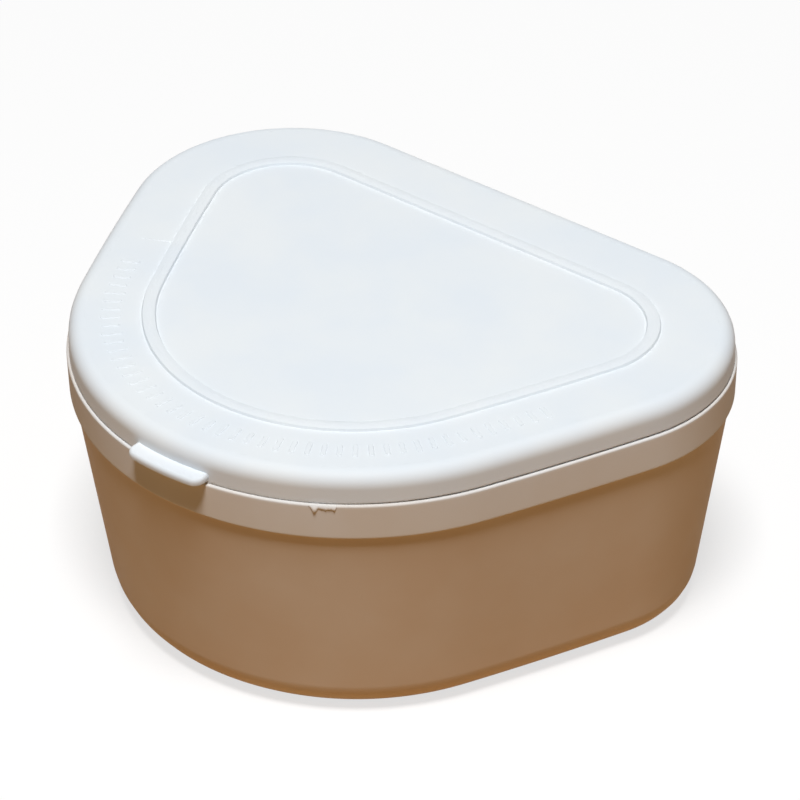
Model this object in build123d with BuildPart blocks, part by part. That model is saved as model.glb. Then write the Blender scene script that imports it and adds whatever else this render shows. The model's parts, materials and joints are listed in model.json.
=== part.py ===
from build123d import *
import math
import os

# A hinged denture case: a tapered tub with a rim band, a shallow lid with a thumb tab, and a hinge pin.
# Millimetres. X runs across the case, -Y is the front with the thumb tab, +Y the hinge, +Z is up.
# The origin is on the surface that the case stands on, in the middle of its overall width and depth.

# Plan of the case, taken round the rim band: a triangle with well rounded corners and a straight back
case_width = 100.0
case_depth = 80.8
rear_corner_radius = 24.1
front_radius = 41.5
side_radius = 476.0

# Tub
tub_height = 39.6          # table to the ledge that the lid sits on
wall = 1.8
floor_thickness = 1.8
wall_draft = 7.65          # degrees that the sides lean outwards
outer_bottom_radius = 5.5
inner_bottom_edge = 2.6    # chamfer inside, round the floor
foot_height = 0.7          # recess inside the foot ring
foot_width = 2.4
foot_draft = 20.0          # degrees that the recess's side leans
gate_well_radius = 4.0     # shallow dish in the middle of the underside, where the plastic was let in
gate_well_depth = 0.4
gate_stub_radius = 0.9     # trimmed end of the gate, standing in the dish
gate_stub_height = 0.3

# Rim band, ledge and the lip that stands up inside the lid
band_height = 5.6
band_step = 0.65           # how far the band stands out from the wall below it
band_draft = 1.2
band_edge = 0.3            # chamfer of the band's two outer edges
lip_gap = 0.2              # between the lip and the lid's wall
lip_top_gap = 1.0          # between the lip and the lid's ceiling
bead_clearance = 0.08      # between the snap bead on the front of the lip and the lid's wall
bead_radius = 0.35
bead_length = 26.0
bead_rise = 1.0            # centre of the bead above the ledge
lip_lead_in = 0.35         # chamfer of the lip's outer top edge, which guides the lid on

# Lid
lid_height = 4.7           # ledge to the top
lid_reveal = 0.35          # how far the lid's wall stands back from the band
lid_wall = 1.1
lid_top = 1.5
lid_draft = 1.5
lid_edge_radius = 2.8
lid_inner_edge = 0.9       # chamfer between the lid's wall and its ceiling
rib_inset = 10.9           # from the rim band to the low rib that frames the flat panel
rib_width = 2.05
rib_height = 0.4
rib_slope = 45.0           # degrees that the rib's two sides lean

# Thumb tab on the front of the lid
tab_width = 12.8
tab_offset = 0.9           # to the right of the middle, as the photographed one stands
tab_rise = 0.5             # its underside above the ledge, room for a thumbnail
tab_reach = 2.0            # past the rim band
tab_root = 3.0             # back from the rim band into the front wall
tab_thickness = 1.1
tab_corner_radius = 1.2
tab_edge = 0.3             # chamfer of its top edge

# Hinge on the straight back: two lugs on the tub, one on the lid, and a plain pin
knuckle_radius = 1.8
pin_radius = 0.8
pin_running_clearance = 0.05
pin_seat_clearance = 0.01
lid_knuckle_length = 16.0
tub_knuckle_length = 8.0
knuckle_side_gap = 0.3
hinge_gap = 0.3            # between the knuckles and the band
gusset_angle = 55.0        # slope of the web under each tub knuckle
web_angle = 30.0           # slope of the web over the lid's knuckle
pin_end_chamfer = 0.2

# Places worked out from the dimensions
hinge_reach = hinge_gap + 2 * knuckle_radius
front_y = tab_reach - (tab_reach + case_depth + hinge_reach) / 2
back_y = front_y + case_depth
ledge_z = tub_height
band_z = ledge_z - band_height
top_z = ledge_z + lid_height
hinge_y = back_y + hinge_gap + knuckle_radius
hinge_z = ledge_z - knuckle_radius
lid_inner = lid_reveal + lid_wall
lip_outer = lid_inner + lip_gap
wall_outer = band_step
wall_inner = band_step + wall
lip_height = lid_height - lid_top - lip_top_gap
bead_height = lip_gap - bead_rise * math.tan(math.radians(lid_draft)) - bead_clearance
floor_z = foot_height + floor_thickness
foot_outer = (
    wall_outer
    + band_z * math.tan(math.radians(wall_draft))
    + outer_bottom_radius * math.tan(math.radians(45 - wall_draft / 2))
)
hinge_width = lid_knuckle_length + 2 * (knuckle_side_gap + tub_knuckle_length)
rib_crest_inset = rib_inset + rib_width - rib_height * math.tan(math.radians(rib_slope))
tip = Vector(0, front_y + front_radius)
corner = Vector(case_width / 2 - rear_corner_radius, back_y - rear_corner_radius)


def plan_face(inset):
    """Fill the sketch in use with the case's rounded triangle, drawn in by inset all round."""
    # The long side is one slack arc that runs into both rounds without a kink. Its centre lies
    # side_radius less each round's own radius away from that round's centre.
    to_corner = side_radius - rear_corner_radius
    to_tip = side_radius - front_radius
    span = (tip - corner).length
    along = (tip - corner).normalized()
    across = Vector(along.Y, -along.X)
    reach = (to_corner**2 - to_tip**2 + span**2) / (2 * span)
    side = corner + along * reach + across * math.sqrt(to_corner**2 - reach**2)
    tip_angle = math.degrees(math.atan2(tip.Y - side.Y, tip.X - side.X))
    corner_angle = math.degrees(math.atan2(corner.Y - side.Y, corner.X - side.X))

    with BuildLine() as outline:
        CenterArc(tip, front_radius - inset, -180 - tip_angle, 180 + 2 * tip_angle)
        flank = CenterArc(side, side_radius - inset, tip_angle, corner_angle - tip_angle)
        round_corner = CenterArc(corner, rear_corner_radius - inset, corner_angle, 90 - corner_angle)
        mirror([flank, round_corner], about=Plane.YZ)
        Line((-corner.X, back_y - inset), (corner.X, back_y - inset))
    make_face(outline.edges())


def level(things, height, slack=0.001):
    """Those of some edges or faces that lie level at one height."""
    return things.filter_by_position(Axis.Z, height - slack, height + slack)


def knuckle_round(radius):
    """Fill the sketch in use, on a plane across the hinge, with a circle on the hinge axis."""
    with Locations((hinge_y, hinge_z)):
        Circle(radius)


def lug_face(*corners):
    """Fill the sketch in use with a hinge lug: a knuckle, and a web with these corners."""
    with BuildLine() as outline:
        Polyline(*corners, close=True)
    make_face(outline.edges())
    knuckle_round(knuckle_radius)


# Tub
with BuildPart() as tub:
    with BuildSketch(Plane.XY.offset(band_z)):
        plan_face(wall_outer)
    extrude(amount=-band_z, taper=wall_draft)
    fillet(level(tub.edges(), 0), outer_bottom_radius)

    # Rim band, its two outer edges broken
    with BuildSketch(Plane.XY.offset(ledge_z)):
        plan_face(0)
    extrude(amount=-band_height, taper=band_draft)
    chamfer(level(tub.edges(), ledge_z), band_edge)
    underside = level(tub.faces(), band_z)[0]
    chamfer(underside.outer_wire().edges(), band_edge)

    # Lip, with a snap bead along the front
    with BuildSketch(Plane.XY.offset(ledge_z)):
        plan_face(lip_outer)
    extrude(amount=lip_height)
    bead_path_radius = front_radius - lip_outer
    bead_half_turn = math.degrees(bead_length / 2 / bead_path_radius)
    bead_out = Vector(0, -1).rotate(Axis.Z, -bead_half_turn)
    with BuildSketch(Plane(tip, x_dir=bead_out, z_dir=bead_out.cross(Vector(0, 0, 1)))):
        with Locations((bead_path_radius + bead_height - bead_radius, ledge_z + bead_rise)):
            Circle(bead_radius)
    revolve(axis=Axis(tip, (0, 0, 1)), revolution_arc=2 * bead_half_turn)

    # Hinge lugs: knuckles level with the ledge, on gussets that run down into the wall
    gusset = math.radians(gusset_angle)
    gusset_touch = (hinge_y + knuckle_radius * math.sin(gusset), hinge_z - knuckle_radius * math.cos(gusset))
    gusset_root_y = back_y - wall_outer - wall / 2
    gusset_root_z = gusset_touch[1] - (gusset_touch[0] - gusset_root_y) * math.tan(gusset)
    for lug_start in (-hinge_width / 2, hinge_width / 2 - tub_knuckle_length):
        with BuildSketch(Plane.YZ.offset(lug_start)):
            lug_face(
                (gusset_root_y, ledge_z),
                (hinge_y, ledge_z),
                (hinge_y, hinge_z),
                gusset_touch,
                (gusset_root_y, gusset_root_z),
            )
        extrude(amount=tub_knuckle_length)
    with BuildSketch(Plane.YZ.offset(-hinge_width / 2)):
        knuckle_round(pin_radius + pin_seat_clearance)
    extrude(amount=hinge_width, mode=Mode.SUBTRACT)

    # Cavity, upright behind the band and drafted below it
    with BuildSketch(Plane.XY.offset(band_z)) as mouth:
        plan_face(wall_inner)
    extrude(mouth.sketch, amount=ledge_z + lip_height - band_z, mode=Mode.SUBTRACT)
    extrude(mouth.sketch, amount=floor_z - band_z, taper=wall_draft, mode=Mode.SUBTRACT)
    chamfer(level(tub.edges(), floor_z), inner_bottom_edge)
    lip_top = level(tub.faces(), ledge_z + lip_height)[0]
    chamfer(lip_top.outer_wire().edges(), lip_lead_in)

    # Recess that leaves a foot ring
    with BuildSketch(Plane.XY):
        plan_face(foot_outer + foot_width)
    extrude(amount=foot_height, taper=foot_draft, mode=Mode.SUBTRACT)

    # Gate well and the stub left in it
    with BuildSketch(Plane.XY.offset(foot_height)):
        Circle(gate_well_radius)
    extrude(amount=gate_well_depth, mode=Mode.SUBTRACT)
    with BuildSketch(Plane.XY.offset(foot_height + gate_well_depth)):
        Circle(gate_stub_radius)
    extrude(amount=-gate_stub_height)

tub.part.label = "tub"

# Lid
with BuildPart() as lid:
    with BuildSketch(Plane.XY.offset(ledge_z)):
        plan_face(lid_reveal)
    extrude(amount=lid_height, taper=lid_draft)
    fillet(level(lid.edges(), top_z), lid_edge_radius)

    # Thumb tab, rooted in the front wall, its front edge bowed as the wall is
    with BuildSketch(Plane.XY.offset(ledge_z + tab_rise)):
        with Locations((tab_offset, front_y - tab_reach)):
            Rectangle(tab_width, tab_reach + tab_root, align=(Align.CENTER, Align.MIN))
        with Locations(tip):
            Circle(front_radius + tab_reach, mode=Mode.INTERSECT)
        fillet(vertices().filter_by_position(Axis.Y, front_y - tab_reach, front_y), tab_corner_radius)
    extrude(amount=tab_thickness)
    tab_edges = level(lid.edges(), ledge_z + tab_rise + tab_thickness)
    chamfer(tab_edges.filter_by_position(Axis.Y, front_y - tab_reach, front_y), tab_edge)

    # Hinge lug in the middle of the back
    web = math.radians(web_angle)
    web_touch = (hinge_y + knuckle_radius * math.sin(web), hinge_z + knuckle_radius * math.cos(web))
    web_root_y = back_y - lid_reveal - lid_wall / 2
    web_root_z = web_touch[1] + (web_touch[0] - web_root_y) * math.tan(web)
    with BuildSketch(Plane.YZ.offset(-lid_knuckle_length / 2)):
        lug_face(
            (web_root_y, ledge_z),
            (back_y + hinge_gap, ledge_z),
            (hinge_y, hinge_z),
            web_touch,
            (web_root_y, web_root_z),
        )
    extrude(amount=lid_knuckle_length)
    with BuildSketch(Plane.YZ.offset(-lid_knuckle_length / 2)):
        knuckle_round(pin_radius + pin_running_clearance)
    extrude(amount=lid_knuckle_length, mode=Mode.SUBTRACT)

    # Hollow underside
    with BuildSketch(Plane.XY.offset(ledge_z)):
        plan_face(lid_inner)
    extrude(amount=lid_height - lid_top, taper=lid_draft, mode=Mode.SUBTRACT)
    chamfer(level(lid.edges(), top_z - lid_top), lid_inner_edge)

    # Low rib with sloping sides, round a flat panel
    with BuildSketch(Plane.XY.offset(top_z)):
        plan_face(rib_inset)
    extrude(amount=rib_height, taper=rib_slope)
    with BuildSketch(Plane.XY.offset(top_z + rib_height)):
        plan_face(rib_crest_inset)
    extrude(amount=-rib_height, taper=rib_slope, mode=Mode.SUBTRACT)

lid.part.label = "lid"

# Hinge pin, held in the tub's lugs and turning in the lid's
with BuildPart() as hinge_pin:
    with BuildSketch(Plane.YZ.offset(-hinge_width / 2)):
        knuckle_round(pin_radius)
    extrude(amount=hinge_width)
    chamfer(hinge_pin.edges().filter_by(GeomType.CIRCLE), pin_end_chamfer)

hinge_pin.part.label = "hinge_pin"

os.makedirs("parts", exist_ok=True)
for piece in (tub.part, lid.part, hinge_pin.part):
    export_step(piece, f"parts/{piece.label}.step")
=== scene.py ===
import bmesh
import bpy
import json
import math
from mathutils import Matrix, Vector


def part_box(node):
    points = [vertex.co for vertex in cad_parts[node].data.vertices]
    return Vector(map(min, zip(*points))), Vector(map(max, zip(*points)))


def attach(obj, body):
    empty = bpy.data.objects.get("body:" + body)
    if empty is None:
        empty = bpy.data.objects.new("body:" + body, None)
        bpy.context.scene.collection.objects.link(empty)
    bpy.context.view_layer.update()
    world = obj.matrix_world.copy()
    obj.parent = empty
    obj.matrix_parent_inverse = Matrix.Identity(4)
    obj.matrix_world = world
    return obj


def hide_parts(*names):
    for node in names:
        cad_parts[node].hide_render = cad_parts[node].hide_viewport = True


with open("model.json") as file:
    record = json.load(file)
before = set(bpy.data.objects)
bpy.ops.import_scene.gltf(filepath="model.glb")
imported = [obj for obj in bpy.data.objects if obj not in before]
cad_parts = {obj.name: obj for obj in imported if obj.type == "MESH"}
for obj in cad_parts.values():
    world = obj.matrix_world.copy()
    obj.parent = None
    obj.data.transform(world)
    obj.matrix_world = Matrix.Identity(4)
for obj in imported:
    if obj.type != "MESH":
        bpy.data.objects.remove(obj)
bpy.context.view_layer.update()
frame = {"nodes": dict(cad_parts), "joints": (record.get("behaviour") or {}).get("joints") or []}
mm = 0.001
hinge = Vector(frame["joints"][0]["pos_m"]) / mm  # a point on the hinge axis, in millimetres
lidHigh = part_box("lid")[1] / mm
print("frame loaded, hinge axis at", [round(v, 2) for v in hinge])

plan = {  # the rounded triangle round the rim band, in mm; every other loop is inset from it
    "width": 100.0,
    "depth": 80.8,
    "frontRadius": 41.5,
    "cornerRadius": 24.1,
    "sideRadius": 476.0,   # the long sides are very slack arcs
    "step": 1.3,           # distance between the points of the outline
}

hingeParts = {  # on the straight back, in mm
    "knuckleRadius": 1.8,
    "gap": 0.3,            # knuckles to rim band
    "pinBore": 0.81,
    "lidSlack": 0.04,      # how much wider the lid's bore is
    "lidLength": 16.0,
    "tubLength": 8.0,
    "sideGap": 0.3,
    "gussetAngle": 55.0,   # slope under the tub's knuckles
    "webAngle": 30.0,      # slope over the lid's knuckle
    "lidStart": 135.0,     # where that knuckle's round begins, beside the rim
    "edgeRound": 0.22,
}

tubMould = {  # in mm
    "wall": 1.8,
    "floor": 1.8,
    "draft": 7.65,         # degrees that the sides lean out
    "bottomRound": 5.5,
    "innerRound": 4.0,
    "innerBend": 3.0,      # where the inside turns upright behind the band
    "footHeight": 0.7,
    "footWidth": 2.4,
    "footDraft": 20.0,
    "footRound": 0.15,
    "bandHeight": 5.6,
    "bandStep": 0.65,
    "bandDraft": 1.2,
    "bandEdge": 0.28,
    "stepRound": 0.2,      # in the corner under the band
    "ledgeRound": 0.08,    # in the corner between ledge and lip
    "lipInset": 1.65,
    "lipHeight": 2.2,
    "lipEdge": 0.3,
    "lipInnerEdge": 0.2,
    "capInset": 18.0,      # where the swept section stops and a flat cap takes over
    "gateWell": 4.0,       # radius of the dish where the plastic was let in
    "gateDepth": 0.4,
    "gateLean": 0.05,      # how far the dish's side leans in
    "gateRound": 0.1,
    "gateStub": 0.9,
    "gateStubHeight": 0.3,
    "stubLean": 0.03,
    "stubRound": 0.08,
    "beadRadius": 0.35,    # snap bead on the front of the lip
    "beadStand": 0.094,    # past the lip
    "beadRise": 1.0,
    "beadLength": 26.0,
}

lidMould = {  # in mm
    "height": 4.6,         # ledge to the flat top
    "reveal": 0.38,
    "wall": 1.1,
    "top": 1.5,
    "draft": 1.5,
    "edgeRound": 2.1,
    "footRound": 0.3,
    "footInnerRound": 0.1,
    "footGap": 0.16,       # over the ledge on the right, where the lid isn't pressed quite home
    "footFlare": 0.08,     # and out from the wall above
    "gapStart": 22.0,      # from here to the right both grow
    "gapFull": 34.0,
    "gapFade": 1.0,        # height over the ledge at which the gap's lift has died away
    "flareFade": 4.0,      # and the flare
    "innerRound": 0.9,
    "ribHeight": 0.5,
    "ribInset": 10.9,
    "ribWidth": 2.05,
    "ribShoulder": (0.15, 0.41),  # in from its foot and up, the steep part of each side
    "shoulderRound": 0.12,
    "ribCrown": 0.75,      # in from its foot to the flat of its top
    "crownRound": 1.2,
    "ribFoot": 0.1,
    "capInset": 18.0,
}

topZ = lidHigh.z - lidMould["ribHeight"]
ledgeZ = topZ - lidMould["height"]
bandZ = ledgeZ - tubMould["bandHeight"]
backY = hinge.y - hingeParts["knuckleRadius"] - hingeParts["gap"]
frontY = backY - plan["depth"]


def slope(degrees):
    return math.tan(math.radians(degrees))


def addNode(tree, kind, links=None, **settings):
    node = tree.nodes.new(kind)
    for name, value in settings.items():
        setattr(node, name, value)
    for key, value in (links or {}).items():
        if isinstance(value, bpy.types.NodeSocket):
            tree.links.new(value, node.inputs[key])
        else:
            node.inputs[key].default_value = value
    return node


def addObject(name, data):
    made = bpy.data.objects.new(name, data)
    bpy.context.scene.collection.objects.link(made)
    return made


def srgb(code):
    channels = [int(code[i:i + 2], 16) / 255 for i in (1, 3, 5)]
    linear = [c / 12.92 if c <= 0.04045 else ((c + 0.055) / 1.055) ** 2.4 for c in channels]
    return (*linear, 1.0)


# Outline of the case, as arcs that run into each other, counterclockwise from above
def arcPoints(centre, radius, start, end):
    count = max(2, math.ceil(abs(end - start) * radius / plan["step"]))
    angles = [start + (end - start) * i / count for i in range(count)]
    return [(centre[0] + radius * math.cos(a), centre[1] + radius * math.sin(a)) for a in angles]


# Angles in degrees; an arc that isn't a full circle gets its end point too
def circlePoints(radius, start=0.0, end=360.0, count=40, centre=(0.0, 0.0)):
    places = count + (abs(end - start) < 360)
    angles = [math.radians(start + (end - start) * i / count) for i in range(places)]
    return [(centre[0] + radius * math.cos(a), centre[1] + radius * math.sin(a)) for a in angles]


def planPoints():
    tip = Vector((0, frontY + plan["frontRadius"]))
    corner = Vector((plan["width"] / 2 - plan["cornerRadius"], backY - plan["cornerRadius"]))
    toCorner = plan["sideRadius"] - plan["cornerRadius"]
    toTip = plan["sideRadius"] - plan["frontRadius"]
    span = (tip - corner).length
    along = (tip - corner) / span
    reach = (toCorner**2 - toTip**2 + span**2) / (2 * span)
    side = corner + along * reach + Vector((along.y, -along.x)) * math.sqrt(toCorner**2 - reach**2)
    tipAngle = math.atan2(tip.y - side.y, tip.x - side.x)
    cornerAngle = math.atan2(corner.y - side.y, corner.x - side.x)
    front = arcPoints(tip, plan["frontRadius"], -math.pi - tipAngle, tipAngle)
    right = arcPoints(side, plan["sideRadius"], tipAngle, cornerAngle)
    right += arcPoints(corner, plan["cornerRadius"], cornerAngle, math.pi / 2)
    steps = math.ceil(2 * corner.x / plan["step"])
    back = [(corner.x * (1 - 2 * i / steps), backY) for i in range(steps + 1)]
    left = [(-x, y) for x, y in reversed(right[1:])]
    return front + right + back + left


def addSpline(data, points, radii=None, cyclic=False):
    spline = data.splines.new("POLY")
    spline.points.add(len(points) - 1)
    for i, (point, place) in enumerate(zip(spline.points, points)):
        point.co = (*[v * mm for v in place], *[0.0] * (3 - len(place)), 1.0)
        point.radius = radii[i] * mm if radii else 1.0
    spline.use_cyclic_u = cyclic


def curveObject(name, points, radii=None, cyclic=False, flat=False):
    data = bpy.data.curves.new(name, "CURVE")
    data.dimensions = "2D" if flat else "3D"
    addSpline(data, points, radii, cyclic)
    return addObject(name, data)


# A section is a list of (inset from the outline, height, round), walked with the air on its left.
# A point just past each round keeps the straight stretch beside it flat under smooth shading.
def sectionCurve(name, corners, guard=0.3):
    places = [Vector((-inset, -height)) for inset, height, bend in corners]
    bends = [bend for inset, height, bend in corners]
    reach = [0.0] * len(places)
    for i in range(1, len(places) - 1):
        reach[i] = bends[i] * math.tan((places[i] - places[i - 1]).angle(places[i + 1] - places[i]) / 2)
    points, radii = [places[0]], [bends[0]]
    for i in range(1, len(places)):
        step = places[i] - places[i - 1]
        if step.length - reach[i - 1] - reach[i] > 4 * guard:
            along = step.normalized()
            points += [places[i - 1] + along * (reach[i - 1] + guard), places[i] - along * (reach[i] + guard)]
            radii += [0.0, 0.0]
        points.append(places[i])
        radii.append(bends[i])
    return curveObject(name, points, radii)


def newTree(name, inputs):
    tree = bpy.data.node_groups.new(name, "GeometryNodeTree")
    face = tree.interface
    face.new_socket("Geometry", in_out="INPUT", socket_type="NodeSocketGeometry")
    for label, (kind, value) in inputs.items():
        socket = face.new_socket(label, in_out="INPUT", socket_type="NodeSocket" + kind)
        if value is not None:
            socket.default_value = value
    face.new_socket("Geometry", in_out="OUTPUT", socket_type="NodeSocketGeometry")
    return tree, addNode(tree, "NodeGroupInput").outputs


def geometryOf(tree, given):
    return addNode(tree, "GeometryNodeObjectInfo", {"Object": given}).outputs["Geometry"]


def endTree(tree, geometry, material):
    real = addNode(tree, "GeometryNodeRealizeInstances", {"Geometry": geometry})
    coat = addNode(tree, "GeometryNodeSetMaterial", {"Geometry": real.outputs[0], "Material": material})
    addNode(tree, "NodeGroupOutput", {"Geometry": coat.outputs[0]})


# Runs a tree on an object and leaves a plain mesh of the same name in its place
def runTree(source, tree, values):
    modifier = source.modifiers.new("shape", "NODES")
    modifier.node_group = tree
    for item in tree.interface.items_tree:
        if item.item_type == "SOCKET" and item.in_out == "INPUT" and item.name in values:
            modifier[item.identifier] = values[item.name]
    name = source.name
    evaluated = source.evaluated_get(bpy.context.evaluated_depsgraph_get())
    mesh = bpy.data.meshes.new_from_object(evaluated)
    bpy.data.objects.remove(source)
    mesh.name = name
    for value in values.values():
        if isinstance(value, bpy.types.Object):
            bpy.data.objects.remove(value)
    return addObject(name, mesh)


# Turns a curve object into a closed mesh in its place
def asMesh(source, material, turn=Matrix.Identity(4)):
    name = source.name
    mesh = bpy.data.meshes.new_from_object(source.evaluated_get(bpy.context.evaluated_depsgraph_get()))
    bpy.data.objects.remove(source)
    closed = bmesh.new()
    closed.from_mesh(mesh)
    bmesh.ops.remove_doubles(closed, verts=closed.verts, dist=1e-6)
    bmesh.ops.recalc_face_normals(closed, faces=closed.faces)
    closed.to_mesh(mesh)
    closed.free()
    mesh.transform(turn)
    mesh.materials.clear()
    mesh.materials.append(material)
    mesh.name = name
    return addObject(name, mesh)


# Sweeps a section round the outline and closes both its ends with flat caps
def shellTree():
    tree, given = newTree("swept shell", {
        "Section": ("Object", None),
        "Corner Steps": ("Int", 7),
        "Cap Inset": ("Float", None),
        "First Height": ("Float", None),
        "Last Height": ("Float", None),
        "Well": ("Object", None),          # a circle that is cut from the last cap and dished
        "Well Section": ("Object", None),
        "Material": ("Material", None),
    })
    bend = addNode(tree, "GeometryNodeInputRadius")
    rounded = addNode(tree, "GeometryNodeFilletCurve", {
        "Curve": geometryOf(tree, given["Section"]), "Count": given["Corner Steps"],
        "Radius": bend.outputs[0], "Limit Radius": True}, mode="POLY")
    upright = addNode(tree, "GeometryNodeSetCurveNormal", {"Curve": given["Geometry"]}, mode="Z_UP")
    wall = addNode(tree, "GeometryNodeCurveToMesh", {
        "Curve": upright.outputs[0], "Profile Curve": rounded.outputs[0]})
    tangent = addNode(tree, "GeometryNodeInputTangent")
    outward = addNode(tree, "ShaderNodeVectorMath", {
        0: tangent.outputs[0], 1: (0, 0, 1)}, operation="CROSS_PRODUCT")
    unit = addNode(tree, "ShaderNodeVectorMath", {0: outward.outputs[0]}, operation="NORMALIZE")
    inset = addNode(tree, "ShaderNodeMath", {0: given["Cap Inset"], 1: -1.0}, operation="MULTIPLY")
    drawnIn = addNode(tree, "ShaderNodeVectorMath", {
        0: unit.outputs[0], "Scale": inset.outputs[0]}, operation="SCALE")
    well = geometryOf(tree, given["Well"])
    wellBend = addNode(tree, "GeometryNodeFilletCurve", {
        "Curve": geometryOf(tree, given["Well Section"]), "Count": 3,
        "Radius": bend.outputs[0], "Limit Radius": True}, mode="POLY")
    wellUp = addNode(tree, "GeometryNodeSetCurveNormal", {"Curve": well}, mode="Z_UP")
    dish = addNode(tree, "GeometryNodeCurveToMesh", {
        "Curve": wellUp.outputs[0], "Profile Curve": wellBend.outputs[0]})
    parts = [wall.outputs[0], dish.outputs[0]]
    for height, turned in ((given["First Height"], False), (given["Last Height"], True)):
        loop = addNode(tree, "GeometryNodeSetPosition", {
            "Geometry": given["Geometry"], "Offset": drawnIn.outputs[0]})
        if turned:
            withHole = addNode(tree, "GeometryNodeJoinGeometry", {0: well})
            tree.links.new(loop.outputs[0], withHole.inputs[0])
            loop = withHole
        filled = addNode(tree, "GeometryNodeFillCurve", {"Curve": loop.outputs[0]}, mode="NGONS")
        lift = addNode(tree, "ShaderNodeCombineXYZ", {"Z": height})
        cap = addNode(tree, "GeometryNodeSetPosition", {
            "Geometry": filled.outputs[0], "Offset": lift.outputs[0]}).outputs[0]
        if turned:
            cap = addNode(tree, "GeometryNodeFlipFaces", {"Mesh": cap}).outputs[0]
        parts.append(cap)
    joined = addNode(tree, "GeometryNodeJoinGeometry")
    for part in reversed(parts):
        tree.links.new(part, joined.inputs[0])
    welded = addNode(tree, "GeometryNodeMergeByDistance", {"Geometry": joined.outputs[0], "Distance": 2e-6})
    smooth = addNode(tree, "GeometryNodeSetShadeSmooth", {
        "Geometry": welded.outputs[0], "Shade Smooth": True})
    endTree(tree, smooth.outputs[0], given["Material"])
    return tree


def shell(name, corners, material, extra=None):
    return runTree(curveObject(name, planPoints(), cyclic=True), sweptShell, {
        **(extra or {}),
        "Section": sectionCurve(name + " section", corners),
        "Cap Inset": corners[0][0] * mm,
        "First Height": corners[0][1] * mm,
        "Last Height": corners[-1][1] * mm,
        "Material": material,
    })


# Materials
noiseCore = (0.3, 0.7)     # where most values of a noise lie
cloudCore = (0.35, 0.65)   # a little narrower, for clouds with clearer edges


def freshNodes(owner):
    owner.use_nodes = True
    owner.node_tree.nodes.clear()
    return owner.node_tree


def noiseOf(tree, coords, size, detail):
    return addNode(tree, "ShaderNodeTexNoise", {
        "Vector": coords, "Scale": 1 / (size * mm), "Detail": detail}).outputs["Fac"]


def mapRange(tree, value, source=(0.0, 1.0), target=(0.0, 1.0)):
    return addNode(tree, "ShaderNodeMapRange", {
        "Value": value, "From Min": source[0], "From Max": source[1],
        "To Min": target[0], "To Max": target[1]}).outputs[0]


def newMaterial(name):
    material = bpy.data.materials.new(name)
    tree = freshNodes(material)
    shader = addNode(tree, "ShaderNodeBsdfPrincipled")
    addNode(tree, "ShaderNodeOutputMaterial", {"Surface": shader.outputs[0]})
    return material, tree, shader, addNode(tree, "ShaderNodeTexCoord").outputs["Object"]


# Satin polypropylene from a finely blasted mould: even, slightly soft, with a broad weak sheen. Its colour is
# taken by height from the finish's levels, which paint light and shade as well as the plastic's own colour
def mouldedPlastic(name, finish):
    material, tree, shader, coords = newMaterial(name)
    height = addNode(tree, "ShaderNodeSeparateXYZ", {0: coords}).outputs["Z"]
    low, high = finish["levels"][0][0], finish["levels"][-1][0]
    # colour by height; the levels hold painted light and shade besides the plastic's colour
    colourAndShadeByHeight = addNode(tree, "ShaderNodeValToRGB", {"Fac": mapRange(tree, height, (low * mm, high * mm))})
    stops = colourAndShadeByHeight.color_ramp.elements
    for i, (level, colour) in enumerate(finish["levels"]):
        share = (level - low) / (high - low)
        stop = stops[i] if i < len(stops) else stops.new(share)
        stop.position = share
        stop.color = srgb(colour)
    cloud = noiseOf(tree, coords, finish["cloudSize"], detail=3.0)
    tinted = addNode(tree, "ShaderNodeMix", {
        "Factor": mapRange(tree, cloud, cloudCore), "A": colourAndShadeByHeight.outputs[0], "B": srgb(finish["cloud"])},
        data_type="RGBA", blend_type="MULTIPLY")
    tree.links.new(tinted.outputs["Result"], shader.inputs["Base Color"])
    patches = noiseOf(tree, coords, finish["patchSize"], detail=3.0)
    rough, spread = finish["roughness"], finish["spread"]
    sheen = mapRange(tree, patches, noiseCore, (rough - spread, rough + spread))
    tree.links.new(sheen, shader.inputs["Roughness"])
    rolling = addNode(tree, "ShaderNodeBump", {
        "Height": noiseOf(tree, coords, finish["waveSize"], detail=1.0),
        "Strength": finish["wave"], "Distance": finish["waveDepth"] * mm})
    fine = addNode(tree, "ShaderNodeBump", {
        "Height": noiseOf(tree, coords, finish["grainSize"], detail=2.0),
        "Strength": finish["grain"], "Distance": finish["grainDepth"] * mm, "Normal": rolling.outputs[0]})
    tree.links.new(fine.outputs[0], shader.inputs["Normal"])
    shader.inputs["IOR"].default_value = 1.49
    shader.inputs["Specular IOR Level"].default_value = finish["gloss"]
    return material


# Sizes in mm; a blasted mould's grain is about 0.05 mm, and is drawn coarser so that it shows
whiteFinish = {
    # Towards its lower edge the lid's white turns a little duller and less blue, a faint painted shade on its
    # sides
    "levels": [(36.0, "#EBEEF0"), (44.7, "#ECF1F4")],  # height and colour
    "cloud": "#FAFCFF", "cloudSize": 14.0, "patchSize": 8.4,
    "roughness": 0.55, "spread": 0.04, "gloss": 0.15,
    "waveSize": 16.0, "wave": 0.05, "waveDepth": 1.0, "grainSize": 0.35, "grain": 0.05, "grainDepth": 0.1,
}
tanFinish = {  # the same grain; cream, a little darker towards the bottom; the paler, greyer band from 34 mm is painted light, as the lamp falls more on the upright band than on the leaning wall; the grey ledge and lip from 39.6 mm are painted shade that dims the ledge's highlight
    "levels": [(0.0, "#EEDFCC"), (14.0, "#EFE1D0"), (33.8, "#F0E2D2"), (34.0, "#ECE9E4"), (39.2, "#EDEAE7"),
               (39.6, "#DFDFDF"), (41.8, "#DFDFDF")],
    "cloud": "#FBF6F0", "cloudSize": 18.0, "patchSize": 10.8,
    "roughness": 0.6, "spread": 0.04, "gloss": 0.03,
    "waveSize": 18.0, "wave": 0.05, "waveDepth": 1.0, "grainSize": 0.35, "grain": 0.05, "grainDepth": 0.1,
}
lidPlastic = mouldedPlastic("white satin polypropylene", whiteFinish)
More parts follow.
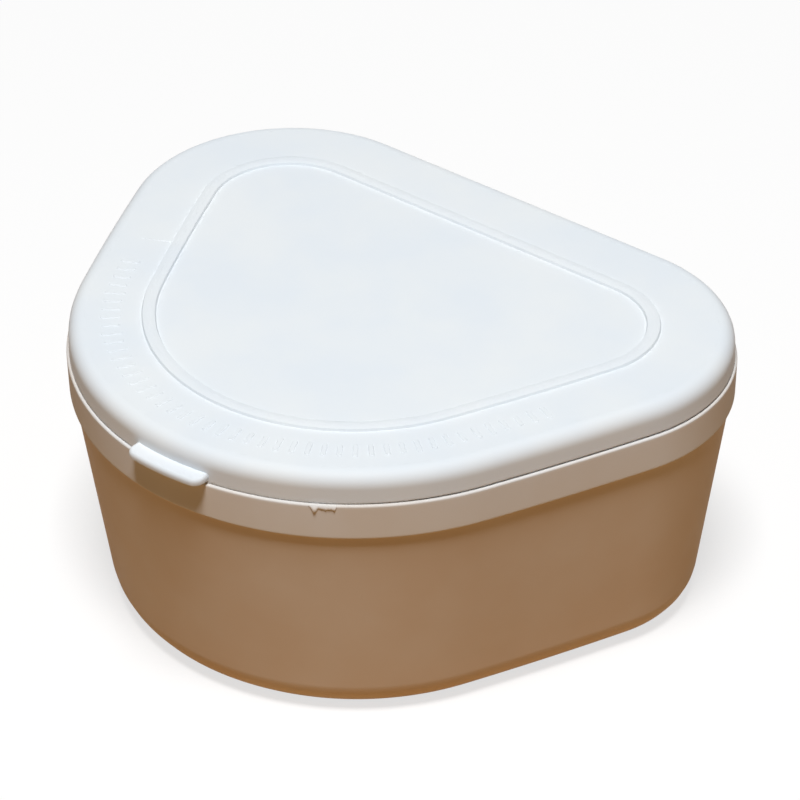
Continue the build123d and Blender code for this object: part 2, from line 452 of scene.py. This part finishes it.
tubPlastic = mouldedPlastic("light tan satin polypropylene", tanFinish)


wire = {  # sizes in mm
    "colour": "#C4C4C6",
    "markWidth": 0.12,
    "markLength": 3.0,
    "markDepth": 0.05,
    "relief": 0.15,
    "roughness": (0.22, 0.42),
}


# Drawn stainless wire: bright, with fine lines along it from the die that blur its reflections
def drawnSteel():
    material, tree, shader, coords = newMaterial("drawn stainless wire")
    stretched = addNode(tree, "ShaderNodeMapping", {
        "Vector": coords, "Scale": (wire["markWidth"] / wire["markLength"], 1.0, 1.0)})
    dieMarks = noiseOf(tree, stretched.outputs[0], wire["markWidth"], detail=2.0)
    shade = mapRange(tree, dieMarks, target=wire["roughness"])
    tree.links.new(shade, shader.inputs["Roughness"])
    lines = addNode(tree, "ShaderNodeBump", {
        "Height": dieMarks, "Strength": wire["relief"], "Distance": wire["markDepth"] * mm})
    tree.links.new(lines.outputs[0], shader.inputs["Normal"])
    shader.inputs["Base Color"].default_value = srgb(wire["colour"])
    shader.inputs["Metallic"].default_value = 1.0
    return material


steel = drawnSteel()
sweptShell = shellTree()
print("materials made")


# Tub: from the floor out, up the inside, over the lip and ledge, down the outside and in under the foot
def tubCorners():
    t = tubMould
    innerTop = t["bandStep"] + t["wall"]
    floorZ = t["footHeight"] + t["floor"]
    innerFloor = innerTop + (bandZ - floorZ) * slope(t["draft"])
    foot = t["bandStep"] + bandZ * slope(t["draft"])
    ringInner = foot + t["bottomRound"] * slope(45 - t["draft"] / 2) + t["footWidth"]
    return [
        (t["capInset"], floorZ, 0),
        (innerFloor, floorZ, t["innerRound"]),
        (innerTop, bandZ, t["innerBend"]),
        (innerTop, ledgeZ + t["lipHeight"], t["lipInnerEdge"]),
        (t["lipInset"], ledgeZ + t["lipHeight"], t["lipEdge"]),
        (t["lipInset"], ledgeZ, t["ledgeRound"]),
        (0, ledgeZ, t["bandEdge"]),
        (t["bandHeight"] * slope(t["bandDraft"]), bandZ, t["bandEdge"]),
        (t["bandStep"], bandZ, t["stepRound"]),
        (foot, 0, t["bottomRound"]),
        (ringInner, 0, t["footRound"]),
        (ringInner + t["footHeight"] * slope(t["footDraft"]), t["footHeight"], t["footRound"]),
        (t["capInset"], t["footHeight"], 0),
    ]


# Lid: from the flat panel out over the rib, round the edge, under the foot and back along the ceiling
def lidCorners():
    m = lidMould
    ribOuter, ribInner = m["ribInset"], m["ribInset"] + m["ribWidth"]
    across, rise = m["ribShoulder"]
    crest = topZ + m["ribHeight"]
    ceiling = topZ - m["top"]
    inner = m["reveal"] + m["wall"]
    return [
        (m["capInset"], topZ, 0),
        (ribInner, topZ, m["ribFoot"]),
        (ribInner - across, topZ + rise, m["shoulderRound"]),
        (ribInner - m["ribCrown"], crest, m["crownRound"]),
        (ribOuter + m["ribCrown"], crest, m["crownRound"]),
        (ribOuter + across, topZ + rise, m["shoulderRound"]),
        (ribOuter, topZ, m["ribFoot"]),
        (m["reveal"] + m["height"] * slope(m["draft"]), topZ, m["edgeRound"]),
        (m["reveal"], ledgeZ, m["footRound"]),
        (inner, ledgeZ, m["footInnerRound"]),
        (inner + (ceiling - ledgeZ) * slope(m["draft"]), ceiling, m["innerRound"]),
        (m["capInset"], ceiling, 0),
    ]


# Draws the foot up and out a little on one side, and leaves the wall above it alone
def easeFoot(piece):
    m = lidMould
    for vertex in piece.data.vertices:
        share = min(max((vertex.co.x / mm - m["gapStart"]) / (m["gapFull"] - m["gapStart"]), 0), 1)
        over = vertex.co.z / mm - ledgeZ
        vertex.co.z += m["footGap"] * mm * share * max(1 - over / m["gapFade"], 0)
        vertex.co.x += m["footFlare"] * mm * share * max(1 - over / m["flareFade"], 0)


# Dish in the middle of the underside, and the trimmed stub of the gate in it
def gateWell():
    t = tubMould
    r = t["gateWell"]
    under = t["footHeight"]
    roof = under + t["gateDepth"]
    stubFace = roof - t["gateStubHeight"]
    return {
        "Well": curveObject("well", [(x, y, 0) for x, y in circlePoints(r)], cyclic=True),
        "Well Section": sectionCurve("well section", [
            (0, under, 0),
            (t["gateLean"], roof, t["gateRound"]),
            (r - t["gateStub"], roof, t["stubRound"]),
            (r - t["gateStub"] + t["stubLean"], stubFace, t["stubRound"]),
            (r, stubFace, 0),
        ]),
    }


def snapBead():
    t = tubMould
    r = plan["frontRadius"] - t["lipInset"] + t["beadStand"] - t["beadRadius"]
    half = math.degrees(t["beadLength"] / 2 / (plan["frontRadius"] - t["lipInset"]))
    line = circlePoints(r, 270 - half, 270 + half, centre=(0, frontY + plan["frontRadius"]))
    made = curveObject("snap_bead", [(x, y, ledgeZ + t["beadRise"]) for x, y in line])
    made.data.bevel_depth = t["beadRadius"] * mm
    made.data.bevel_resolution = 3
    made.data.use_fill_caps = True
    return asMesh(made, tubPlastic)


tubShell = shell("tub_shell", tubCorners(), tubPlastic, gateWell())
lidShell = shell("lid_shell", lidCorners(), lidPlastic)
easeFoot(lidShell)
print("shells swept:", len(tubShell.data.polygons), "and", len(lidShell.data.polygons), "faces")


# A flat moulding with rounded edges: outlines in mm on its own plane, then stood where turn puts it
def flatMoulding(name, outlines, thickness, edge, turn, material):
    made = curveObject(name, outlines[0], cyclic=True, flat=True)
    for outline in outlines[1:]:
        addSpline(made.data, outline, cyclic=True)
    made.data.fill_mode = "BOTH"
    made.data.extrude = (thickness / 2 - edge) * mm
    made.data.bevel_depth = edge * mm
    made.data.bevel_resolution = 3
    made.data.offset = -edge * mm
    return asMesh(made, material, turn)


# Stands a flat moulding in the plane YZ, its thickness along X
acrossHinge = Matrix(((0, 0, 1, 0), (1, 0, 0, 0), (0, 1, 0, 0), (0, 0, 0, 1)))


def tubLugs():
    r = hingeParts["knuckleRadius"]
    axis = (hinge.y, hinge.z)
    angle = math.radians(hingeParts["gussetAngle"])
    touch = (hinge.y + r * math.sin(angle), hinge.z - r * math.cos(angle))
    rootY = backY - tubMould["bandStep"] - tubMould["wall"] / 2
    rootZ = touch[1] - (touch[0] - rootY) * math.tan(angle)
    knuckle = circlePoints(r, 90, hingeParts["gussetAngle"] - 90, count=24, centre=axis)
    outline = [(rootY, ledgeZ)] + knuckle + [(rootY, rootZ)]
    bore = circlePoints(hingeParts["pinBore"], centre=axis)
    middle = (hingeParts["lidLength"] + hingeParts["tubLength"]) / 2 + hingeParts["sideGap"]
    return [flatMoulding(f"tub_lug_{side}", [outline, bore], hingeParts["tubLength"], hingeParts["edgeRound"],
                         Matrix.Translation((x * mm, 0, 0)) @ acrossHinge, tubPlastic)
            for side, x in (("left", -middle), ("right", middle))]


def lidLug():
    r = hingeParts["knuckleRadius"]
    axis = (hinge.y, hinge.z)
    angle = math.radians(hingeParts["webAngle"])
    touch = (hinge.y + r * math.sin(angle), hinge.z + r * math.cos(angle))
    rootY = backY - lidMould["reveal"] - lidMould["wall"] / 2
    rootZ = touch[1] + (touch[0] - rootY) * math.tan(angle)
    knuckle = circlePoints(r, hingeParts["lidStart"], 450 - hingeParts["webAngle"], centre=axis)
    outline = [(rootY, rootZ), (rootY, ledgeZ), (backY + hingeParts["gap"], ledgeZ)] + knuckle
    bore = circlePoints(hingeParts["pinBore"] + hingeParts["lidSlack"], centre=axis)
    return flatMoulding("lid_lug", [outline, bore], hingeParts["lidLength"], hingeParts["edgeRound"],
                        acrossHinge, lidPlastic)


tab = {  # thumb tab on the front of the lid, in mm
    "width": 12.8,
    "offset": 0.9,         # to the right of the middle
    "rise": 0.5,           # above the ledge
    "reach": 1.99,         # past the rim band
    "thickness": 1.1,
    "cornerRound": 1.6,
    "lowerRound": 0.2,
    "upperRound": (0.5, 0.6),  # in and down, a quarter of an ellipse
    "rootInset": 1.3,
    "roundSteps": 6,
    "lap": 0.1,            # from each round to one more loop, which keeps the face beside it flat
}


def tabOutline(inset):
    r = tab["cornerRound"] - inset
    tip = frontY + plan["frontRadius"]
    bow = plan["frontRadius"] + tab["reach"] - inset  # the front edge is bowed as the wall behind it is
    left, right = [tab["offset"] + side * (tab["width"] / 2 - inset) for side in (-1, 1)]
    outline = [(left, frontY + tab["rootInset"])]
    for x, side in ((left + r, -1), (right - r, 1)):
        y = tip - math.sqrt((bow - r) ** 2 - x**2)
        lean = math.degrees(math.atan2(x, tip - y))
        ends = (180, 270 + lean) if side < 0 else (270 + lean, 360)
        outline += circlePoints(r, *ends, count=8, centre=(x, y))
        if side < 0:
            span = [math.degrees(math.atan2(c, tip - y)) for c in (left + r, right - r)]
            front = circlePoints(bow, 270 + span[0], 270 + span[1], count=12, centre=(0, tip))
            outline += front[1:-1]
    return outline + [(right, frontY + tab["rootInset"])]


# Loops of one outline, drawn in as the edges round over, joined from the underside up
def thumbTab():
    r = tab["lowerRound"]
    over, down = tab["upperRound"]
    steps = tab["roundSteps"]
    turns = [math.radians(90 * i / steps) for i in range(steps + 1)]
    levels = [(r + tab["lap"], 0)] + [(r * (1 - math.sin(t)), r * (1 - math.cos(t))) for t in turns]
    levels += [(over * (1 - math.cos(t)), tab["thickness"] - down * (1 - math.sin(t))) for t in turns]
    levels.append((over + tab["lap"], tab["thickness"]))
    made = bmesh.new()
    loops = []
    for inset, height in levels:
        z = ledgeZ + tab["rise"] + height
        loops.append([made.verts.new((x * mm, y * mm, z * mm)) for x, y in tabOutline(inset)])
    for low, high in zip(loops, loops[1:]):
        for i in range(len(low)):
            made.faces.new((low[i - 1], low[i], high[i], high[i - 1]))
    made.faces.new(reversed(loops[0]))
    made.faces.new(loops[-1])
    bmesh.ops.recalc_face_normals(made, faces=made.faces)
    mesh = bpy.data.meshes.new("thumb_tab")
    made.to_mesh(mesh)
    made.free()
    mesh.shade_smooth()
    mesh.materials.append(lidPlastic)
    return addObject("thumb_tab", mesh)


marks = {  # low radial strokes moulded on the lid's rim, in mm
    "start": (-39.5, -14.0),  # nearest places on the outline, counterclockwise
    "end": (43.8, -6.8),
    "inset": 6.5,
    "pitch": 2.1,
    "length": 3.2,
    "width": 0.78,
    "height": 0.1,
    "sink": 0.06,         # the middle of its thickness, under the lid's face
    "edgeRound": 0.16,
    "shortest": 0.8,      # share of the length
    "seed": 7,
}

flash = {  # a ragged feather of plastic left where the mould's halves met, in mm
    "start": (20.6, -35.5),
    "end": (24.2, -32.8),
    "drop": 0.02,          # under the ledge
    "section": [           # out and down
        (-0.15, 0.0), (0.04, -0.02), (0.2, 1.2), (0.13, 1.32), (0.02, 1.15), (-0.15, 0.5)],
    "rags": [(0.0, 0.1), (0.1, 0.45), (0.2, 1.0), (0.27, 0.85), (0.36, 0.4), (0.62, 0.55), (0.86, 0.5),
             (0.93, 0.72), (1.0, 0.1)],  # share of the way along, and of the section
    "step": 0.1,
    "grain": 0.5,          # length of the fine teeth
    "toothDepth": 0.25,    # share of the section
    "seed": 3.0,
}

knit = {  # faint line across the rim where two fronts of plastic met, in mm
    "middle": (-34.1, -3.8),
    "angle": 23.6,         # degrees from the X axis
    "length": 5.4,
    "width": 0.28,
    "height": 0.06,
    "sink": 0.04,
    "edgeRound": 0.09,
}


def outlineFrom(start, end):
    points = planPoints()

    def nearest(place):
        return min(range(len(points)), key=lambda i: (Vector(points[i]) - Vector(place)).length)

    first, last = nearest(start), nearest(end)
    return (points[first:] + points[:first])[:(last - first) % len(points) + 1]


# Sets a stroke on the line at each pitch, turned across it, each as long as chance gives
def strokeTree():
    tree, given = newTree("rim strokes", {
        "Stroke": ("Object", None),
        "Inset": ("Float", None),
        "Pitch": ("Float", None),
        "Shortest": ("Float", None),
        "Seed": ("Int", None),
        "Material": ("Material", None),
    })
    tangent = addNode(tree, "GeometryNodeInputTangent")
    inward = addNode(tree, "ShaderNodeVectorMath", {
        0: (0, 0, 1), 1: tangent.outputs[0]}, operation="CROSS_PRODUCT")
    drawnIn = addNode(tree, "ShaderNodeVectorMath", {
        0: inward.outputs[0], "Scale": given["Inset"]}, operation="SCALE")
    line = addNode(tree, "GeometryNodeSetPosition", {
        "Geometry": given["Geometry"], "Offset": drawnIn.outputs[0]})
    places = addNode(tree, "GeometryNodeResampleCurve", {
        "Curve": line.outputs[0], "Length": given["Pitch"]}, mode="LENGTH")
    turn = addNode(tree, "FunctionNodeAlignRotationToVector", {
        "Vector": tangent.outputs[0]}, axis="X", pivot_axis="Z")
    share = addNode(tree, "FunctionNodeRandomValue", {
        "Min": given["Shortest"], "Max": 1.0, "Seed": given["Seed"]})
    size = addNode(tree, "ShaderNodeCombineXYZ", {"X": 1.0, "Y": share.outputs[1], "Z": 1.0})
    row = addNode(tree, "GeometryNodeInstanceOnPoints", {
        "Points": places.outputs[0], "Instance": geometryOf(tree, given["Stroke"]),
        "Rotation": turn.outputs[0], "Scale": size.outputs[0]})
    endTree(tree, row.outputs[0], given["Material"])
    return tree


def rimMarks():
    r = marks["width"] / 2
    half = marks["length"] / 2
    pill = circlePoints(r, 0, 180, 8, (0, half - r)) + circlePoints(r, 180, 360, 8, (0, r - half))
    place = Matrix.Translation((0, 0, -marks["sink"] * mm))
    thickness = 2 * (marks["height"] + marks["sink"])
    stroke = flatMoulding("stroke", [pill], thickness, marks["edgeRound"], place, lidPlastic)
    line = [(x, y, topZ) for x, y in outlineFrom(marks["start"], marks["end"])]
    return runTree(curveObject("rim_marks", line), strokeTree(), {
        "Stroke": stroke, "Inset": marks["inset"] * mm, "Pitch": marks["pitch"] * mm,
        "Shortest": marks["shortest"], "Seed": marks["seed"], "Material": lidPlastic,
    })


# A short line across the rim, sunk so that only its rounded top stands up
def knitLine():
    r = knit["width"] / 2
    half = knit["length"] / 2
    pill = circlePoints(r, -90, 90, 8, (half - r, 0)) + circlePoints(r, 90, 270, 8, (r - half, 0))
    place = Matrix.Translation(Vector((*knit["middle"], topZ - knit["sink"])) * mm)
    turn = Matrix.Rotation(math.radians(knit["angle"]), 4, "Z")
    thickness = 2 * (knit["height"] + knit["sink"])
    return flatMoulding("knit_line", [pill], thickness, knit["edgeRound"], place @ turn, lidPlastic)


# Hangs a thin section from the line, as large at each place as the rags say, with finer teeth from a noise
def flashTree():
    tree, given = newTree("flash", {
        "Section": ("Object", None),
        "Grain": ("Float", None),
        "Seed": ("Float", None),
        "Material": ("Material", None),
    })
    line = addNode(tree, "GeometryNodeResampleCurve", {
        "Curve": given["Geometry"], "Length": flash["step"] * mm}, mode="LENGTH")
    upright = addNode(tree, "GeometryNodeSetCurveNormal", {"Curve": line.outputs[0]}, mode="Z_UP")
    along = addNode(tree, "GeometryNodeSplineParameter")
    grains = addNode(tree, "ShaderNodeMath", {
        0: along.outputs["Length"], 1: given["Grain"]}, operation="DIVIDE")
    shifted = addNode(tree, "ShaderNodeMath", {
        0: grains.outputs[0], 1: given["Seed"]}, operation="ADD")
    ragged = addNode(tree, "ShaderNodeTexNoise", {
        "W": shifted.outputs[0], "Scale": 1.0, "Detail": 2.0}, noise_dimensions="1D")
    teeth = mapRange(tree, ragged.outputs["Fac"], noiseCore, (1 - flash["toothDepth"], 1.0))
    envelope = addNode(tree, "ShaderNodeFloatCurve", {"Value": along.outputs["Factor"]})
    shape = envelope.mapping.curves[0].points
    shape[0].location = flash["rags"][0]
    shape[1].location = flash["rags"][-1]
    for place in flash["rags"][1:-1]:
        shape.new(*place)
    for point in shape:
        point.handle_type = "VECTOR"
    envelope.mapping.update()
    size = addNode(tree, "ShaderNodeMath", {0: envelope.outputs[0], 1: teeth}, operation="MULTIPLY")
    feather = addNode(tree, "GeometryNodeCurveToMesh", {
        "Curve": upright.outputs[0], "Profile Curve": geometryOf(tree, given["Section"]),
        "Scale": size.outputs[0], "Fill Caps": True})
    endTree(tree, feather.outputs[0], given["Material"])
    return tree


def flashBurr():
    line = [(x, y, ledgeZ - flash["drop"]) for x, y in outlineFrom(flash["start"], flash["end"])]
    return runTree(curveObject("flash_burr", line), flashTree(), {
        "Section": curveObject("flash section", flash["section"], cyclic=True),
        "Grain": flash["grain"] * mm, "Seed": flash["seed"], "Material": tubPlastic,
    })


for piece in tubLugs() + [snapBead(), flashBurr()]:
    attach(piece, "tub")
for piece in (lidLug(), thumbTab(), rimMarks(), knitLine()):
    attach(piece, "lid")
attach(tubShell, "tub")
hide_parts("tub")
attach(lidShell, "lid")
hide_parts("lid")
pin = frame["nodes"]["hinge_pin"]
pin.data.materials.clear()
pin.data.materials.append(steel)
print("hinge, tab and pin made")


# Studio: a floor that is white to the camera but throws a warm light back at the object, a softbox
# overhead and an even sky
studio = {
    "floor": 6.0,          # m across
    "boxSize": 0.4,        # m
    "boxAzimuth": 37.0,    # degrees, as for the camera
    "boxElevation": 73.5,
    "boxDistance": 1.6,    # m
    "boxPower": 24.4,      # W
    "sky": 0.03,
    "floorColour": "#B18857",  # what the floor throws back at the object
    "floorWhite": 1.05,    # and what the camera sees of it
    "floorGlow": 0.7,      # share of the camera's white floor that shadows can't darken
}


def facing(azimuth, elevation):
    az, el = math.radians(azimuth), math.radians(elevation)
    return Vector((math.sin(az) * math.cos(el), -math.cos(az) * math.cos(el), math.sin(el)))


# 1 for the camera and in reflections, 0 for the light that falls on the object
def seenShare(tree):
    path = addNode(tree, "ShaderNodeLightPath")
    either = addNode(tree, "ShaderNodeMath", {
        0: path.outputs["Is Camera Ray"], 1: path.outputs["Is Glossy Ray"]}, operation="MAXIMUM")
    return either.outputs[0]


def floor():
    half = studio["floor"] / 2
    mesh = bpy.data.meshes.new("floor")
    corners = [(-half, -half, 0), (half, -half, 0), (half, half, 0), (-half, half, 0)]
    mesh.from_pydata(corners, [], [(0, 1, 2, 3)])
    material = bpy.data.materials.new("studio floor")
    tree = freshNodes(material)
    seen = seenShare(tree)
    white = (*[studio["floorWhite"]] * 3, 1)
    colour = addNode(tree, "ShaderNodeMix", {
        "Factor": seen, "A": srgb(studio["floorColour"]), "B": white}, data_type="RGBA")
    diffuse = addNode(tree, "ShaderNodeBsdfDiffuse", {"Color": colour.outputs["Result"]})
    glow = addNode(tree, "ShaderNodeEmission", {"Color": (1, 1, 1, 1), "Strength": 1.0})
    share = addNode(tree, "ShaderNodeMath", {0: seen, 1: studio["floorGlow"]}, operation="MULTIPLY")
    both = addNode(tree, "ShaderNodeMixShader", {
        0: share.outputs[0], 1: diffuse.outputs[0], 2: glow.outputs[0]})
    addNode(tree, "ShaderNodeOutputMaterial", {"Surface": both.outputs[0]})
    mesh.materials.append(material)
    made = addObject("floor", mesh)


def sky():
    world = bpy.data.worlds.new("even sky")
    tree = freshNodes(world)
    strength = mapRange(tree, seenShare(tree), target=(studio["sky"], 1.0))
    light = addNode(tree, "ShaderNodeBackground", {"Color": (1, 1, 1, 1), "Strength": strength})
    addNode(tree, "ShaderNodeOutputWorld", {"Surface": light.outputs[0]})
    bpy.context.scene.world = world


def softbox():
    lamp = bpy.data.lights.new("softbox", "AREA")
    lamp.shape = "SQUARE"
    lamp.size = studio["boxSize"]
    lamp.energy = studio["boxPower"]
    made = addObject("softbox", lamp)
    away = facing(studio["boxAzimuth"], studio["boxElevation"])
    made.location = away * studio["boxDistance"]
    made.rotation_euler = (-away).to_track_quat("-Z", "Y").to_euler()


shot = {  # the photograph's view, from its fitted outlines
    "azimuth": 39.38,      # degrees
    "elevation": 34.58,
    "roll": -0.577,
    "place": (303.44, -360.17, 352.99),  # mm
    "lens": 178.44,        # mm
    "sensor": 36.0,
}


def camera():
    data = bpy.data.cameras.new("camera")
    data.lens = shot["lens"]
    data.sensor_width = shot["sensor"]
    data.clip_start = 0.01
    data.clip_end = 30.0
    roll = math.radians(shot["roll"])
    back = facing(shot["azimuth"], shot["elevation"])
    right = Vector((-back.y, back.x, 0)).normalized()
    up = back.cross(right)
    turnedRight = right * math.cos(roll) + up * math.sin(roll)
    turnedUp = up * math.cos(roll) - right * math.sin(roll)
    made = addObject("camera", data)
    turn = Matrix((turnedRight, turnedUp, back)).transposed().to_4x4()
    made.matrix_world = Matrix.Translation(Vector(shot["place"]) * mm) @ turn
    bpy.context.scene.camera = made


floor()
sky()
softbox()
camera()
bpy.context.scene.view_settings.view_transform = "Standard"
print("studio and camera set")
